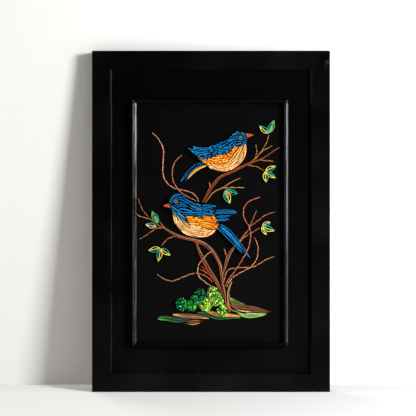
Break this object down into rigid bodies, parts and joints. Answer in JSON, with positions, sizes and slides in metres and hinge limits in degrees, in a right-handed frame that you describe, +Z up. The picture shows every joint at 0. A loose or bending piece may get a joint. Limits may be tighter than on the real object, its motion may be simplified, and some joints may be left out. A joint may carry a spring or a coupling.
{
  "type": "quilled wall art",
  "caption": "Black box-framed wall picture of songbirds on a leafy branch in quilled paper, with a raised inner rim, hung by the back of its top rail.",
  "frame": {"origin": "middle of the top rail's flat back face, where it meets the wall", "axes": "+Z up, +Y into the wall, so the picture faces -Y, and +X to the viewer's right"},
  "size_m": [0.353, 0.0276, 0.506],
  "materials": {
    "black_moulding": "black satin paint",
    "black_board": "matt black card",
    "black_rim": "black semi-gloss paint",
    "backing": "plain brown hardboard",
    "blue_paper": "dyed quilling strip",
    "orange_paper": "dyed quilling strip",
    "cream_paper": "dyed quilling strip",
    "beak_paper": "dyed quilling strip",
    "eye_bead": "small glossy bead",
    "bark_paper": "bundled brown strips",
    "twig_paper": "thin twisted strips",
    "leaf_paper": "green and yellow loops",
    "bush_paper": "fringed green strips",
    "ground_paper": "green, tan and brown loops"
  },
  "bodies": {
    "root": {"rail_top": "black_moulding", "rail_bottom": "black_moulding", "rail_left": "black_moulding", "rail_right": "black_moulding", "mat_board": "black_board", "backing_board": "backing", "rim_top": "black_rim", "rim_bottom": "black_rim", "rim_left": "black_rim", "rim_right": "black_rim", "art_panel": "black_board", "lower_bird_wing": "blue_paper", "lower_bird_flank": "orange_paper", "lower_bird_breast": "cream_paper", "lower_bird_tail": "blue_paper", "lower_bird_beak": "beak_paper", "lower_bird_eye": "eye_bead", "upper_bird_wing": "blue_paper", "upper_bird_flank": "orange_paper", "upper_bird_breast": "cream_paper", "upper_bird_tail": "blue_paper", "upper_bird_beak": "beak_paper", "upper_bird_eye": "eye_bead", "left_branch": "bark_paper", "left_stem": "bark_paper", "right_branch": "bark_paper", "trunk_stub": "bark_paper", "upper_branch": "bark_paper", "mid_branch": "bark_paper", "s_twig": "twig_paper", "long_twig": "twig_paper", "low_right_twig": "twig_paper", "low_left_twig": "twig_paper", "arc_twig": "twig_paper", "outer_left_twig": "twig_paper", "inner_left_twig": "twig_paper", "leaves_top": "leaf_paper", "leaves_upper_right": "leaf_paper", "leaves_mid": "leaf_paper", "leaves_right": "leaf_paper", "leaf_left_upper": "leaf_paper", "leaf_left_lower": "leaf_paper", "leaves_low_left": "leaf_paper", "rosette_1": "bush_paper", "rosette_2": "bush_paper", "rosette_3": "bush_paper", "rosette_4": "bush_paper", "rosette_5": "bush_paper", "rosette_6": "bush_paper", "rosette_7": "bush_paper", "rosette_8": "bush_paper", "rosette_9": "bush_paper", "ground_green": "ground_paper", "ground_tan": "ground_paper", "ground_brown": "ground_paper", "ground_dark_green": "ground_paper", "ground_orange": "ground_paper", "ground_light_green": "ground_paper", "ground_root": "ground_paper", "ground_upper_green": "ground_paper"}
  },
  "joints": []
}
